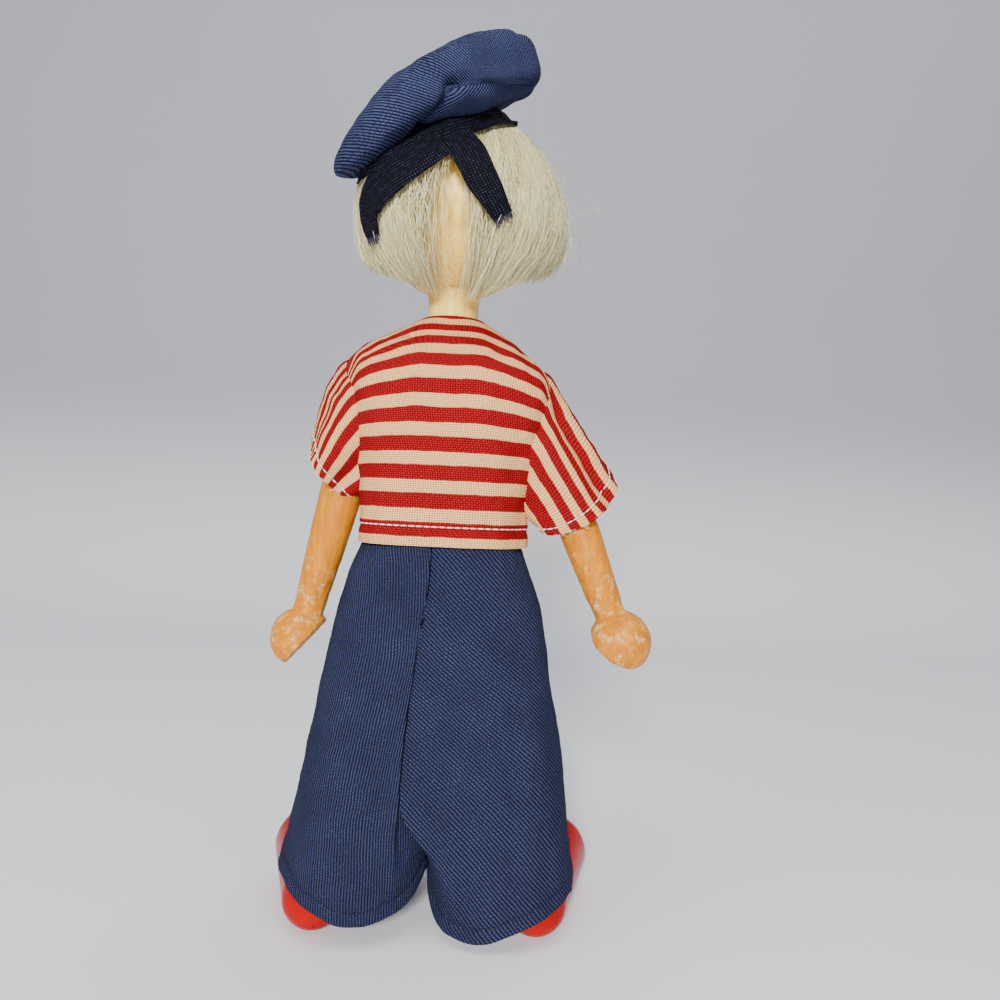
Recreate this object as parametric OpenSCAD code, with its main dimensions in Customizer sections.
// Jointed wooden doll in sailor dress, standing on its shoes.
// X runs to the doll's left, Y to its back and Z up. The origin is on the floor, under the body's axis.
// The doll faces -Y. Millimetres.

/* [Body] */
// Height of the hip pins above the soles
hip_z = 66; // [60:0.5:75]
// Hip pins to shoulder pins
hip_to_shoulder = 45; // [42:0.5:50]
// Shoulder pins to the top of the turned body
shoulder_to_top = 10; // [9:0.5:13]
// Radius of the chest
chest_r = 12; // [11.5:0.1:12.2]
// Radius of the waist
waist_r = 10.4; // [9.5:0.1:10.9]
// Radius of the body just above the hips
base_r = 11; // [10:0.1:11.2]
// Radius of the body's top, round the neck hole
collar_r = 5.9; // [5:0.1:6.2]
// Half the thickness of the tongue between the legs
tongue_half = 6; // [5:0.1:6.5]
// Radius of the tongue's round end
tongue_r = 9; // [7:0.1:9.5]
// Half the depth of the tongue's stem
stem_half = 6.5; // [5:0.1:7]

/* [Head] */
// Radius of the head ball
head_r = 17.5; // [16:0.1:18.5]
// Length of the neck below the ball
neck_h = 9.3; // [8.5:0.1:12]
// Radius of the neck
neck_r = 5.25; // [4.5:0.05:5.6]
// Radius of the spigot that turns in the body
spigot_r = 3; // [2:0.1:3.6]
// Length of the spigot
spigot_h = 13; // [8:0.5:16]
// Thickness of the wig over the ears
wig_t = 4.4; // [3:0.1:5.5]
// Height of the wig's lower edge above the body's top
wig_drop = 9; // [8:0.1:12]
// Half the width of the face opening in the wig
face_half = 13.5; // [11:0.1:15]

/* [Arms] */
// Distance of the arm's axis from the body's axis at the shoulder
shoulder_x = 16.6; // [16:0.1:18]
// Upward tilt of the left shoulder pin, which splays the arm
tilt_left = 10.7; // [6:0.1:14]
// Upward tilt of the right shoulder pin
tilt_right = 19.5; // [14:0.1:22]
// Lean of each arm away from its shoulder seat
arm_cant = 2.3; // [2:0.1:4]
// Backward swing of the right arm as it is set
swing_right = 8; // [0:0.5:15]
// Radius of the arm at the shoulder
arm_r = 4.9; // [4.5:0.05:5.1]
// Radius of the forearm below the sleeve
forearm_r = 4.45; // [4:0.05:4.6]
// Radius of the wrist
wrist_r = 3.1; // [2.6:0.05:3.6]
// Radius of the ball hand
hand_r = 6.4; // [5.5:0.1:6.8]
// Shoulder pin to the middle of the hand
arm_len = 56.5; // [54:0.5:60]
// Arm's axis to the flat cut on its shoulder
pad = 4.2; // [4:0.05:4.5]
// Angle between the palm cut and the arm
palm_angle = 28; // [20:1:35]
// Turn of the right palm to the front
palm_turn = 40; // [0:5:60]

/* [Legs] */
// Radius of the leg at the hip
leg_r = 4.8; // [4.2:0.05:5]
// Radius of the ankle
ankle_r = 4.1; // [3.6:0.05:4.5]
// Outward splay of the leg
leg_splay = 12.5; // [11:0.25:13.5]
// Depth of the leg's cut, from its axis to its flat inner side
leg_flat = 3.5; // [3:0.1:3.9]
// Radius of the ankle tenon in the shoe
tenon_r = 2.6; // [2:0.1:3]
// Depth of the tenon below the ankle's shoulder
tenon_h = 6; // [4:0.5:7]
// Length of the shoe
shoe_len = 34.6; // [33:0.1:36]
// How far the heel reaches behind the leg
heel_back = 16.2; // [15:0.1:16.6]
// Radius of the toe
toe_r = 8; // [7.4:0.1:8.2]
// Radius of the heel
heel_r = 6.4; // [6:0.1:6.6]
// Depth cut off the shoe to make the flat sole
sole_cut = 0.9; // [0.6:0.1:1.4]
// Turn-out of the shoe
shoe_turn = 13.5; // [11:0.5:15]
// Shift of the shoe outwards from the leg's axis
shoe_out = 1.7; // [0.5:0.1:2]

/* [Pins] */
// Radius of the nails at the shoulders and hips
pin_r = 1.05; // [0.8:0.05:1.3]
// Radius of the nails' heads
pin_head_r = 2.1; // [1.8:0.1:2.4]
// Thickness of the nails' heads
pin_head_t = 0.9; // [0.6:0.1:1.2]
// How deep a shoulder nail goes into the body
shoulder_pin_grip = 7; // [5:0.5:7.5]

/* [Clothes] */
// Thickness of the cloth
cloth = 0.6; // [0.5:0.05:0.7]
// Half the width of the trousers at the waist
waist_half = 17; // [16.4:0.1:17.4]
// Half the width of the trousers at the hip pins
hip_half = 20.8; // [20:0.1:21.4]
// Radius of the trousers' seat about the hip pins
seat_r = 11; // [10.6:0.1:11.4]
// Outer edge of the trouser hem
hem_out = 32.6; // [32.2:0.1:34]
// Inner edge of the trouser hem
hem_in = 0.5; // [0.3:0.1:1.5]
// Depth of the trouser hem behind the leg
hem_back = 18.6; // [18:0.1:19.5]
// Depth of the trouser hem before the leg
hem_front = 14.5; // [13:0.1:16]
// Height of the hem at the back
hem_z = 4.6; // [4:0.1:6]
// Rise of the hem over the instep
hem_rise = 12.8; // [11.8:0.1:13.5]
// Height of the trousers' top above the hip pins
trouser_top = 18; // [16:0.5:20]
// Height of the elastic in the waist
elastic_h = 3; // [2:0.5:4]
// Depth of the trousers' flutes
flute = 0.35; // [0:0.05:0.5]
// Height of the shirt's hem above the trousers' seat
shirt_lift = 0.5; // [0.4:0.1:2]
// Half the width of the shirt at the chest
shirt_half = 18.5; // [18:0.1:19.5]
// Half the width of the neckline
neckline = 6.9; // [6.7:0.1:8]
// Height of the neckline above the body's top
neckline_z = 3.4; // [2.5:0.1:4]
// Left cuff, from the arm's axis to its outer edge
cuff_left = 7.8; // [7:0.1:9]
// Left cuff, outer edge down from the shoulder pin
cuff_left_s = 18.4; // [16:0.1:20]
// Right cuff, from the arm's axis to its outer edge
cuff_right = 10.6; // [8:0.1:11]
// Right cuff, outer edge down from the shoulder pin
cuff_right_s = 21.5; // [18:0.1:22.5]
// Inner end of both cuffs, down from the shoulder pin
cuff_in_s = 26; // [24:0.1:27.5]
// Half the depth of the cuffs
cuff_half = 6.2; // [5.6:0.1:7]
// Room between the upper arm and the sleeve
sleeve_ease = 3; // [2:0.1:4]
// Rise of the armhole over the body's top
sleeve_rise = 1.5; // [0.9:0.1:2]
// Drop of the shoulder line from the neckline to the armhole
shoulder_drop = 6.5; // [5:0.1:8]

/* [Cap] */
// Middle of the cap's crown to its left end
cap_left = 27; // [25.5:0.1:28.5]
// Middle of the cap's crown to its right end
cap_right = 19.5; // [18:0.1:21]
// How far the right end's upper edge stands out over its middle
cap_flare = 2.7; // [1:0.1:4]
// Half the depth of the cap's crown
cap_depth = 20.2; // [19:0.1:22]
// Height of the crown's top over its widest line
cap_high = 8.5; // [7:0.1:10]
// Depth of the crown's underside below its widest line
cap_low = 3.9; // [3:0.1:5]
// How far the crown's left end droops
cap_droop = 5.8; // [4:0.1:7]
// Tilt of the cap to the doll's left
cap_tilt = 23; // [15:1:28]
// Tilt of the cap to the back
cap_back = 18; // [10:1:22]
// Shift of the crown up its slope
cap_shift = 5.6; // [4:0.1:7]
// Middle of the crown from the middle of the head
cap_lift = 21.5; // [20.5:0.1:23]
// Middle of the head to the band's lower edge
band_low = 11.5; // [9:0.1:13]
// Depth of the crease across the crown
cap_crease = 1.8; // [0:0.1:2.5]
// Height of the band round the wig
band_h = 6; // [4:0.1:7]
// Width of the ribbon's tails
ribbon_w = 9.5; // [7:0.1:11]
// Thickness of the ribbon
ribbon_t = 0.5; // [0.4:0.05:0.7]

/* [Fits] */
// Radial clearance of a turning pin or spigot
running = 0.05; // [0.02:0.01:0.09]
// Gap between wooden faces that turn on each other
seat_gap = 0.3; // [0.25:0.05:0.5]
// Gap between cloth and what moves beside it
soft_gap = 0.3; // [0.25:0.05:0.4]
// Gap under a nail's head
head_gap = 0.1; // [0.05:0.05:0.2]

/* [Hidden] */
$fn = 64;
far = 200;
over = 1;
profile_steps = 28;
arc_steps = 10;

shoulder_z = hip_z + hip_to_shoulder;
top_z = shoulder_z + shoulder_to_top;
base_z = hip_z + seat_r + soft_gap + cloth;
neck_z = top_z + neck_h;
head_z = neck_z + sqrt(head_r * head_r - neck_r * neck_r);
wig_r = head_r + wig_t;
wig_z = top_z + wig_drop;
trouser_z = hip_z + trouser_top;
shirt_z = hip_z + seat_r + shirt_lift;
leg_x = tongue_half + seat_gap + leg_flat;
leg_out = leg_x + leg_flat;
shoe_z = toe_r - sole_cut;
heel_z = heel_r - sole_cut;
ankle_z = heel_z + toe_r;
ankle_s = (hip_z - ankle_z) / cos(leg_splay);
foot_x = leg_x + (hip_z - shoe_z) * tan(leg_splay);
seat_depth = base_r + 2 * soft_gap + 2 * cloth;
shirt_hem_half = waist_half + soft_gap + 2 * cloth;
shirt_hem_depth = seat_depth + soft_gap + cloth;
shirt_chest_depth = chest_r + soft_gap + 1.5 * cloth;

// Smooth step between 0 and 1, and a blend of two values
function ease(t) = let (c = max(0, min(1, t))) c * c * (3 - 2 * c);
function mix(a, b, t) = a + (b - a) * t;

// A smooth curve through keys of [place, value]
function keyed(p, keys, i = 0) =
    i >= len(keys) - 2 || p <= keys[i + 1][0]
        ? mix(keys[i][1], keys[i + 1][1], ease((p - keys[i][0]) / (keys[i + 1][0] - keys[i][0])))
        : keyed(p, keys, i + 1);

// One rounded outline point: a circle at power 2, squarer above it
function bent(v, power) = sign(v) * pow(abs(v), 2 / power);

function flatten(rings) = [for (r = rings) for (p = r) p];

// Triangles of the wall between ring after ring of n points, from one index on
function skin(first, m, n, out) =
    [for (k = [0 : m - 2], i = [0 : n - 1])
        let (j = (i + 1) % n, a = first + k * n, b = a + n)
        each out ? [[a + i, a + j, b + j], [a + i, b + j, b + i]]
                 : [[a + j, a + i, b + j], [b + j, a + i, b + i]]];

// Triangles of a flat rim between two rings of n points
function rim(a, b, n) =
    [for (i = [0 : n - 1]) let (j = (i + 1) % n) each [[a + i, a + j, b + j], [a + i, b + j, b + i]]];

// A cloth tube with open ends, between rings listed from top to bottom
module cloth_tube(outer, inner) {
    m = len(outer);
    n = len(outer[0]);
    first = m * n;
    polyhedron(concat(flatten(outer), flatten(inner)),
               concat(skin(0, m, n, true), skin(first, m, n, false),
                      rim(first, 0, n), rim((m - 1) * n, first + (m - 1) * n, n)));
}

// A closed form through rings listed from top to bottom, with a point at each end
module closed_form(rings, top, bottom) {
    m = len(rings);
    n = len(rings[0]);
    last = m * n;
    polyhedron(concat(flatten(rings), [top, bottom]),
               concat(skin(0, m, n, true),
                      [for (i = [0 : n - 1]) [(i + 1) % n, i, last]],
                      [for (i = [0 : n - 1]) [last - n + i, last - n + (i + 1) % n, last + 1]]));
}

// Torso: turned body, with spot-faced shoulder seats and a tongue for the hips
waist_level = 0.35;
torso_keys = [[base_z, base_r], [mix(base_z, shoulder_z, waist_level), waist_r],
              [shoulder_z - shoulder_to_top * 0.3, chest_r],
              [shoulder_z + shoulder_to_top * 0.1, chest_r], [top_z, collar_r]];

module torso_turning() {
    rotate_extrude()
        polygon(concat([[0, base_z]],
                       [for (i = [0 : profile_steps])
                           let (z = mix(base_z, top_z, i / profile_steps)) [keyed(z, torso_keys), z]],
                       [[0, top_z]]));
}

module torso_tongue() {
    translate([-tongue_half, 0, hip_z])
        rotate([0, 90, 0])
            cylinder(r = tongue_r, h = 2 * tongue_half);
    translate([-tongue_half, -stem_half, hip_z])
        cube([2 * tongue_half, 2 * stem_half, base_z - hip_z + over]);
}

module torso() {
    color("burlywood")
        difference() {
            union() {
                torso_turning();
                torso_tongue();
            }
            translate([0, 0, top_z - spigot_h - seat_gap])
                cylinder(r = spigot_r + running, h = far);
            for (side = ["left", "right"])
                at_shoulder(side) {
                    translate([-pad - seat_gap, -far / 2, -far / 2])
                        cube([far, far, far]);
                    translate([-pad - seat_gap - shoulder_pin_grip, 0, 0])
                        rotate([0, 90, 0])
                            cylinder(r = pin_r, h = far);
                }
            translate([-far / 2, 0, hip_z])
                rotate([0, 90, 0])
                    cylinder(r = pin_r, h = far);
        }
}

// The frame of a shoulder: X out along the pin, Z up along its seat, from the arm's axis
function tilt(side) = side == "left" ? tilt_left : tilt_right;

module at_shoulder(side) {
    mirror([side == "left" ? 0 : 1, 0, 0])
        translate([shoulder_x, 0, shoulder_z])
            rotate([0, -tilt(side), 0])
                children();
}

// The right arm and its sleeve are set back a little
module set_arm(side) {
    at_shoulder(side)
        rotate([side == "left" ? 0 : swing_right, 0, 0])
            children();
}

module nail(shank) {
    rotate([0, 90, 0]) {
        cylinder(r = pin_r, h = shank);
        translate([0, 0, shank])
            cylinder(r = pin_head_r, h = pin_head_t);
    }
}

shoulder_shank = shoulder_pin_grip + seat_gap + 2 * pad - pin_head_t + head_gap;

module shoulder_pin(side) {
    color("silver")
        at_shoulder(side)
            translate([-pad - seat_gap - shoulder_pin_grip, 0, 0])
                nail(shoulder_shank);
}

module shoulder_pin_left() { shoulder_pin("left"); }
module shoulder_pin_right() { shoulder_pin("right"); }

hip_pin_in = 0.5 * pin_r;
hip_shank = leg_out - hip_pin_in + head_gap;

module hip_pin_left() {
    color("silver")
        translate([hip_pin_in, 0, hip_z])
            nail(hip_shank);
}

module hip_pin_right() { mirror([1, 0, 0]) hip_pin_left(); }

// Arm: one turning along its own axis, from the shoulder's dome to the ball hand
wrist_s = arm_len - sqrt(hand_r * hand_r - wrist_r * wrist_r);
arm_keys = [[0, arm_r], [cuff_in_s, forearm_r], [wrist_s, wrist_r]];
hand_open = asin(wrist_r / hand_r);
palm_in = 0.25;

arm_outline = concat(
    [for (i = [0 : arc_steps]) let (a = 90 * i / arc_steps) [arm_r * sin(a), arm_r * cos(a)]],
    [for (i = [1 : profile_steps]) let (s = wrist_s * i / profile_steps) [keyed(s, arm_keys), -s]],
    [for (i = [1 : 2 * arc_steps])
        let (a = mix(hand_open, 180, i / (2 * arc_steps))) [hand_r * sin(a), hand_r * cos(a) - arm_len]]);

module arm(side) {
    color("burlywood")
        set_arm(side)
            difference() {
                rotate([0, -arm_cant, 0])
                    rotate([0, 0, side == "left" ? 0 : palm_turn])
                        difference() {
                            rotate_extrude()
                                polygon(arm_outline);
                            translate([-palm_in * hand_r, 0, -arm_len])
                                rotate([0, -palm_angle, 0])
                                    translate([-far, -far / 2, -2 * hand_r])
                                        cube([far, far, 4 * hand_r]);
                        }
                translate([-far - pad, -far / 2, -cuff_in_s])
                    cube([far, far, far]);
                rotate([0, 90, 0]) {
                    cylinder(r = pin_r + running, h = far, center = true);
                    translate([0, 0, pad - pin_head_t])
                        cylinder(r = pin_head_r + soft_gap, h = far);
                }
            }
}

module arm_left() { arm("left"); }
module arm_right() { arm("right"); }

// Sleeve: rings that fan out from the armhole to the cuff, round the underarm point
sleeve_sides = 24;
sleeve_rings = 9;
sleeve_crown = 0.45;
sleeve_power = 2.3;
armhole_half = 0.86 * chest_r;

// The sleeve's upper line, from the armhole's top to the cuff's outer edge, as [x, z]
function sleeve_top(t, side) =
    let (cuff = side == "left" ? [cuff_left, -cuff_left_s] : [cuff_right, -cuff_right_s],
         level = t * mix(0.8, 1, t),
         turn = max(0, 1 - level / sleeve_crown))
    [mix(-pad, mix(arm_r + sleeve_ease, cuff[0], level), 1 - turn * turn),
     mix(shoulder_to_top + sleeve_rise, cuff[1], level)];

function sleeve_ring(t, side, inset) =
    let (head = sleeve_top(t, side),
         foot = [-pad, mix(-cuff_in_s + 3 * cloth, -cuff_in_s, t)],
         mid = (head + foot) / 2,
         half = (head - foot) / 2,
         long = norm(half),
         axis = half / long,
         deep = mix(armhole_half, cuff_half, ease(t * 1.25)) - inset,
         fold = 0.5 * cloth * sin(180 * t))
    [for (i = [0 : sleeve_sides - 1])
        let (a = 360 * i / sleeve_sides,
             u = bent(cos(a), sleeve_power) * (long - inset),
             v = bent(sin(a), sleeve_power) * (deep + fold * cos(3 * a)))
        [max(mid[0] + axis[0] * u, -pad + inset), v, mid[1] + axis[1] * u]];

module sleeve(side) {
    color("indianred")
        set_arm(side)
            cloth_tube([for (k = [0 : sleeve_rings]) sleeve_ring(k / sleeve_rings, side, 0)],
                       [for (k = [0 : sleeve_rings]) sleeve_ring(k / sleeve_rings, side, cloth)]);
}

module sleeve_left() { sleeve("left"); }
module sleeve_right() { sleeve("right"); }

// Shirt: a flat-cut tube from hem to neckline, open at the armholes
shirt_sides = 32;
shirt_rows = 14;
shirt_top = top_z + neckline_z;
shirt_chest_z = mix(shirt_z, shoulder_z, 0.75);
shirt_wide = [[shirt_z, shirt_hem_half], [shirt_chest_z, shirt_half],
              [shirt_top - shoulder_drop, shirt_half], [shirt_top, neckline]];
shirt_deep = [[shirt_z, shirt_hem_depth], [shirt_chest_z, shirt_chest_depth],
              [shoulder_z, shirt_chest_depth], [shirt_top, neckline]];

function shirt_ring(t, inset) =
    let (z = mix(shirt_top, shirt_z, t),
         w = keyed(z, shirt_wide) - inset,
         d = keyed(z, shirt_deep) - inset,
         power = mix(2, 2.8, ease(t * 1.6)),
         drape = 0.4 * cloth * ease((t - 0.5) * 2))
    [for (i = [0 : shirt_sides - 1])
        let (a = 360 * i / shirt_sides)
        [w * bent(cos(a), power), (d + drape * (1 - cos(4 * a))) * bent(sin(a), power), z]];

module shirt_body() {
    color("indianred")
        difference() {
            cloth_tube([for (k = [0 : shirt_rows]) shirt_ring(k / shirt_rows, 0)],
                       [for (k = [0 : shirt_rows]) shirt_ring(k / shirt_rows, cloth)]);
            for (side = ["left", "right"])
                at_shoulder(side)
                    translate([-pad - seat_gap, -far / 2, -far / 2])
                        cube([far, far, far]);
        }
}

// Thread bow, lying on the slope below the front of the neckline
bow_tube = 0.5;
bow_loop = 1.6;
bow_reach = 2 * (bow_loop + bow_tube);
bow_drop = 0.7 * bow_reach;
bow_low = keyed(shirt_top - 2 * bow_drop, shirt_deep);
bow_lean = atan((bow_low - neckline) / (2 * bow_drop));
bow_y = -(bow_low + neckline) / 2 - soft_gap - 2 * bow_tube;
bow_turns = [35, -215];

module neck_bow() {
    color("firebrick")
        translate([-0.5 * neckline, bow_y, shirt_top - bow_drop])
            rotate([-bow_lean, 0, 0]) {
                sphere(r = 1.6 * bow_tube);
                for (turn = bow_turns)
                    rotate([0, turn, 0])
                        translate([bow_loop + bow_tube, 0, 0])
                            rotate([90, 0, 0])
                                rotate_extrude()
                                    translate([bow_loop, 0])
                                        circle(r = bow_tube, $fn = 16);
            }
}

// Trousers: the seat turns under itself round the hips, and each leg turns on it
module stadium(half, deep) {
    square([2 * (half - deep), 2 * deep], center = true);
    for (side = [-1, 1])
        translate([side * (half - deep), 0])
            circle(r = deep);
}

saddle_half = tongue_half + seat_gap;
saddle_open = 132;

// The saddle's section across the hips: a barrel that runs up into the waist
module saddle_section(inset) {
    r = seat_r - inset;
    deep = seat_depth - inset;
    polygon(concat([for (i = [0 : 3 * arc_steps])
                       let (a = mix(-saddle_open, saddle_open, i / (3 * arc_steps)))
                       [r * sin(a), hip_z - r * cos(a)]],
                   [[deep, base_z], [deep, base_z + over], [-deep, base_z + over], [-deep, base_z]]));
}

module trouser_seat() {
    color("midnightblue") {
        translate([0, 0, base_z])
            linear_extrude(trouser_z - base_z)
                difference() {
                    stadium(waist_half, seat_depth);
                    stadium(waist_half - cloth, seat_depth - cloth);
                }
        translate([-saddle_half, 0, 0])
            rotate([90, 0, 90])
                linear_extrude(2 * saddle_half)
                    difference() {
                        saddle_section(0);
                        saddle_section(cloth);
                        translate([-far / 2, base_z])
                            square(far);
                    }
    }
}

module waist_elastic() {
    color("ivory")
        translate([0, 0, trouser_z - elastic_h])
            linear_extrude(elastic_h)
                difference() {
                    stadium(waist_half - cloth - soft_gap, seat_depth - cloth - 0.5 * soft_gap);
                    stadium(waist_half - 2 * cloth - soft_gap, seat_depth - 2 * cloth - 0.5 * soft_gap);
                }
}

leg_sides = 32;
crotch = seat_r + soft_gap;
hem_fall = hip_z - hem_z;

// Levels of the trouser leg, measured down from the hip pins: round the seat, the crotch, then the hem
leg_levels = concat([for (a = [-80, -52, -25, 0]) seat_r * sin(a)],
                    [crotch, crotch + 2 * cloth],
                    [for (i = [1 : 7]) mix(crotch + 2 * cloth, hem_fall, i / 7)]);

// The hem is lifted over the shoe, towards the toe
toe_way = 318;
hem_peak = 4.8;
function hem_lift(a) = hem_rise * pow((1 + cos(a - toe_way)) / 2, hem_peak);

function trouser_ring(below, inset) =
    let (t = ease((below - crotch) / (hem_fall - crotch)),
         out = below > 0 ? mix(hip_half, hem_out, below / hem_fall)
                         : mix(hip_half, waist_half, -below / seat_r),
         in = below <= crotch ? saddle_half + soft_gap : mix(soft_gap, hem_in, t),
         mid = (out + in) / 2,
         half = (out - in) / 2 - inset,
         seat = below < 0 ? sqrt(seat_r * seat_r - below * below) : seat_r,
         fall = ease(below / (0.6 * hem_fall)),
         shelf = below > crotch && below < crotch + 3 * cloth ? inset : 0)
    [for (i = [0 : leg_sides - 1])
        let (a = 360 * i / leg_sides,
             deep = max(mix(seat, sin(a) > 0 ? hem_back : hem_front, t) - inset, cloth),
             power = cos(a) < 0 ? mix(12, 4, fall) : 2.7,
             wave = flute * t * cos(5 * a))
        [mid + (half + wave) * bent(cos(a), power),
         (deep + wave) * bent(sin(a), power),
         hip_z - below - shelf + hem_lift(a) * ease((below / hem_fall - 0.45) / 0.55)]];

module trouser_leg_left() {
    color("midnightblue")
        difference() {
            cloth_tube([for (level = leg_levels) trouser_ring(level, 0)],
                       [for (level = leg_levels) trouser_ring(level, cloth)]);
            translate([0, 0, hip_z])
                rotate([0, 90, 0])
                    cylinder(r = seat_r - cloth, h = saddle_half + soft_gap + 2 * cloth);
        }
}

module trouser_leg_right() { mirror([1, 0, 0]) trouser_leg_left(); }

// Leg: a turned peg, flat on its inner side, with a tenon in the shoe
module leg_left() {
    color("burlywood")
        difference() {
            translate([leg_x, 0, hip_z])
                rotate([0, -leg_splay, 0])
                    rotate_extrude()
                        polygon(concat(
                            [for (i = [0 : arc_steps])
                                let (a = 90 * i / arc_steps) [leg_r * sin(a), leg_r * cos(a)]],
                            [[ankle_r, -ankle_s], [tenon_r, -ankle_s],
                             [tenon_r, -ankle_s - tenon_h], [0, -ankle_s - tenon_h]]));
            translate([tongue_half + seat_gap - far, -far / 2, hip_z - tongue_r - over])
                cube([far, far, far]);
            translate([leg_out, -far / 2, hip_z - 1.5 * leg_r])
                cube([far, far, far]);
            translate([0, 0, hip_z])
                rotate([0, 90, 0])
                    cylinder(r = pin_r + running, h = far);
        }
}

module leg_right() { mirror([1, 0, 0]) leg_left(); }

// Shoe: an egg turned along its length, cut flat below and bored for the tenon
shoe_axis = shoe_len - toe_r - heel_r;
shoe_pitch = atan((toe_r - heel_r) / shoe_axis);
shoe_lean = asin((toe_r - heel_r) / shoe_axis);

// The egg's outline, from the heel at 0 to the toe
shoe_outline = concat(
    [for (i = [0 : arc_steps])
        let (a = mix(0, 90 + shoe_lean, i / arc_steps)) [heel_r * sin(a), heel_r * (1 - cos(a))]],
    [for (i = [0 : arc_steps])
        let (a = mix(90 + shoe_lean, 180, i / arc_steps))
        [toe_r * sin(a), heel_r + shoe_axis - toe_r * cos(a)]]);

module shoe_left() {
    color("crimson")
        difference() {
            translate([foot_x + shoe_out, 0, 0])
                rotate([0, 0, shoe_turn])
                    translate([0, heel_back, heel_z])
                        rotate([90 - shoe_pitch, 0, 0])
                            rotate_extrude()
                                polygon(shoe_outline);
            translate([-far / 2, -far / 2, -far])
                cube([far, far, far]);
            translate([leg_x, 0, hip_z])
                rotate([0, -leg_splay, 0]) {
                    translate([0, 0, -ankle_s - tenon_h])
                        cylinder(r = tenon_r, h = far);
                    translate([0, 0, -ankle_s])
                        cylinder(r = ankle_r, h = far);
                }
        }
}

module shoe_right() { mirror([1, 0, 0]) shoe_left(); }

// Head and neck: one turning, whose spigot turns in the body
neck_open = asin(neck_r / head_r);

module head() {
    color("burlywood")
        rotate_extrude()
            polygon(concat(
                [[0, top_z - spigot_h], [spigot_r, top_z - spigot_h], [spigot_r, top_z + seat_gap],
                 [neck_r, top_z + seat_gap]],
                [for (i = [0 : 3 * arc_steps])
                    let (a = mix(180 - neck_open, 0, i / (3 * arc_steps)))
                    [head_r * sin(a), head_z + head_r * cos(a)]]));
}

// Wig: a bob that stands off the ball and is open over the face
wig_keys = [[wig_z, wig_r * 0.62], [wig_z + wig_r * 0.5, wig_r], [head_z, wig_r * 1.01]];

function wig_radius(z) =
    z < head_z ? keyed(z, wig_keys) : wig_r * sqrt(max(0, 1 - pow((z - head_z) / wig_r, 2)));

module wig_turning(grow) {
    rotate_extrude()
        polygon(concat([[0, wig_z]],
                       [for (i = [0 : profile_steps])
                           let (z = mix(wig_z, head_z, i / profile_steps)) [wig_radius(z) + grow, z]],
                       [for (i = [1 : 2 * arc_steps])
                           let (a = 90 * i / (2 * arc_steps))
                           [(wig_r + grow) * cos(a), head_z + (wig_r + grow) * sin(a)]]));
}

module wig() {
    color("lightyellow")
        difference() {
            wig_turning(0);
            translate([0, 0, head_z])
                sphere(r = head_r + running);
            cylinder(r = neck_r + wig_t, h = head_z);
            translate([-face_half, -far, wig_z - over])
                cube([2 * face_half, far, head_z + 0.3 * head_r - wig_z + over]);
        }
}

// Cap: a soft crown with a crease, lying over the wig, and its band
cap_sides = 36;
cap_rows = 12;
cap_slide = 2;
crease_wide = 2.6;

function cap_point(a, b) =
    let (power = mix(2, 4.1, ease((0.6 - cos(a)) / 1.4)),
         sx = bent(cos(b), power) * cos(a),
         sz = bent(sin(b), power),
         x = (sx > 0 ? cap_left : cap_right + cap_flare * sz) * sx + cap_slide * sz,
         y = cap_depth * bent(cos(b), power) * sin(a),
         z = sz * (sz > 0 ? cap_high : cap_low) - cap_droop * ease(sx),
         near = (0.5 * x + 0.87 * z) / crease_wide,
         dent = cap_crease * exp(-near * near) * max(0, sin(a)))
    [x, y - dent, z];

// The cap's frame: Z out of the head, tilted to the left and the back
module at_cap() {
    translate([0, 0, head_z])
        rotate([-cap_back, cap_tilt, 0])
            children();
}

module cap_form() {
    closed_form([for (k = [0 : cap_rows])
                    let (b = mix(82, -82, k / cap_rows))
                    [for (i = [0 : cap_sides - 1]) cap_point(360 * i / cap_sides, b)]],
                [cap_slide, 0, cap_high], [-cap_slide, 0, -cap_low]);
}

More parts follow.
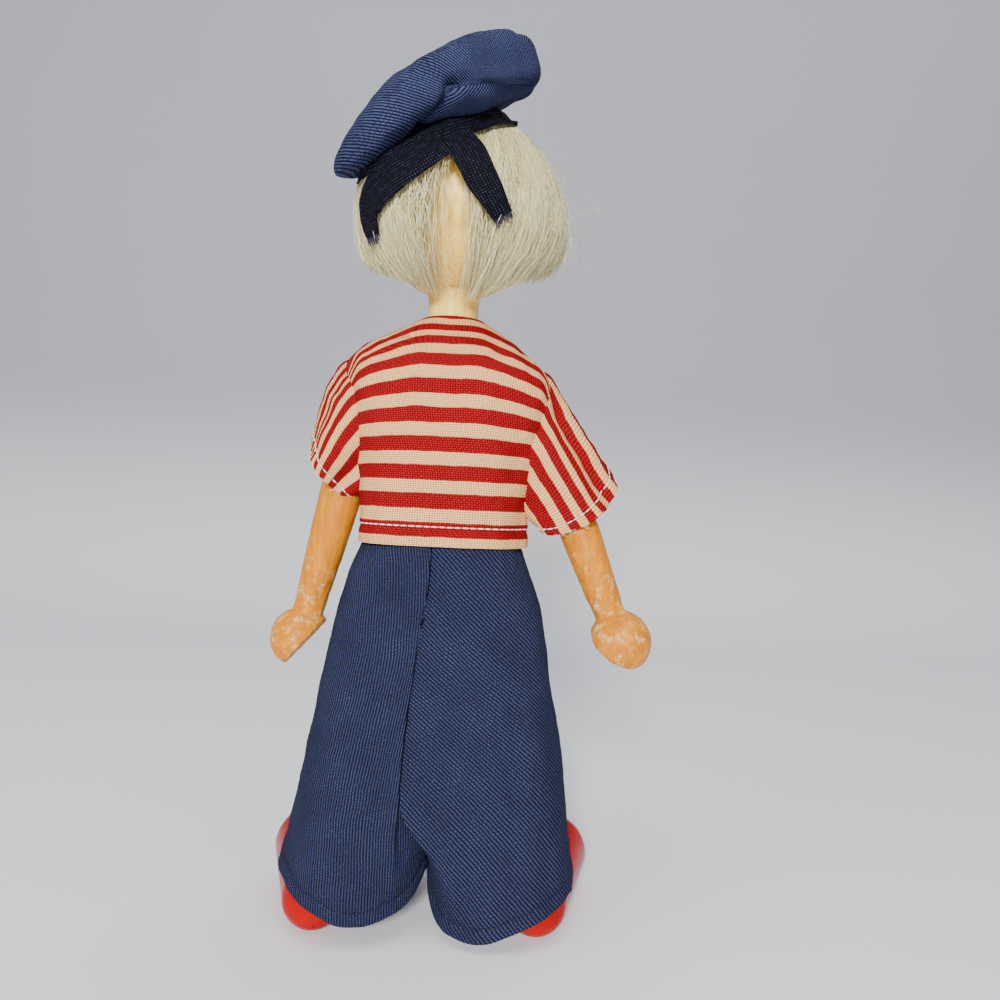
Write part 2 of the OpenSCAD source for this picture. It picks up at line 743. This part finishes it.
module cap_crown() {
    color("slateblue")
        difference() {
            at_cap()
                translate([-cap_shift, 0, cap_lift])
                    cap_form();
            wig_turning(4 * soft_gap + 2 * cloth);
            cap_band_shape(soft_gap);
        }
}

module cap_band_shape(grow) {
    intersection() {
        difference() {
            wig_turning(soft_gap + cloth + grow);
            wig_turning(soft_gap - grow);
        }
        at_cap()
            translate([0, 0, band_low - grow])
                cylinder(r = far, h = band_h + 2 * grow);
    }
}

module cap_band() {
    color("darkslateblue")
        cap_band_shape(0);
}

// Ribbon tails: strips that hang from the band's knot down the back of the wig
tail_rows = 8;
tail_taper = 0.15;

// Each tail's turn from the middle of the back and its height over the middle of the head,
// at the knot and at its end
tail_left_turn = [-44, -57];
tail_left_drop = [5.5, -7.5];
tail_right_turn = [-4, 19];
tail_right_drop = [6, -7];

function tail_ring(t, turns, drops) =
    let (turn = mix(turns[0], turns[1], t) + 90,
         z = head_z + mix(drops[0], drops[1], ease(t)),
         r = wig_radius(z) + soft_gap + 2 * cloth,
         wide = ribbon_w / 2 * (1 - tail_taper * t) * 180 / (PI * r))
    [for (c = [[-1, 0], [1, 0], [1, 1], [-1, 1]])
        let (a = turn - c[0] * wide, q = r + c[1] * ribbon_t)
        [q * cos(a), q * sin(a), z]];

module tail(turns, drops) {
    rings = [for (k = [0 : tail_rows]) tail_ring(k / tail_rows, turns, drops)];
    color("darkslateblue")
        closed_form(rings, (rings[0][0] + rings[0][2]) / 2,
                    (rings[tail_rows][0] + rings[tail_rows][2]) / 2);
}

module ribbon_tail_left() { tail(tail_left_turn, tail_left_drop); }
module ribbon_tail_right() { tail(tail_right_turn, tail_right_drop); }

head();
wig();
cap_crown();
cap_band();
ribbon_tail_left();
ribbon_tail_right();
torso();
shoulder_pin_left();
shoulder_pin_right();
hip_pin_left();
hip_pin_right();
shirt_body();
neck_bow();
trouser_seat();
waist_elastic();
arm_left();
sleeve_left();
arm_right();
sleeve_right();
leg_left();
shoe_left();
trouser_leg_left();
leg_right();
shoe_right();
trouser_leg_right();
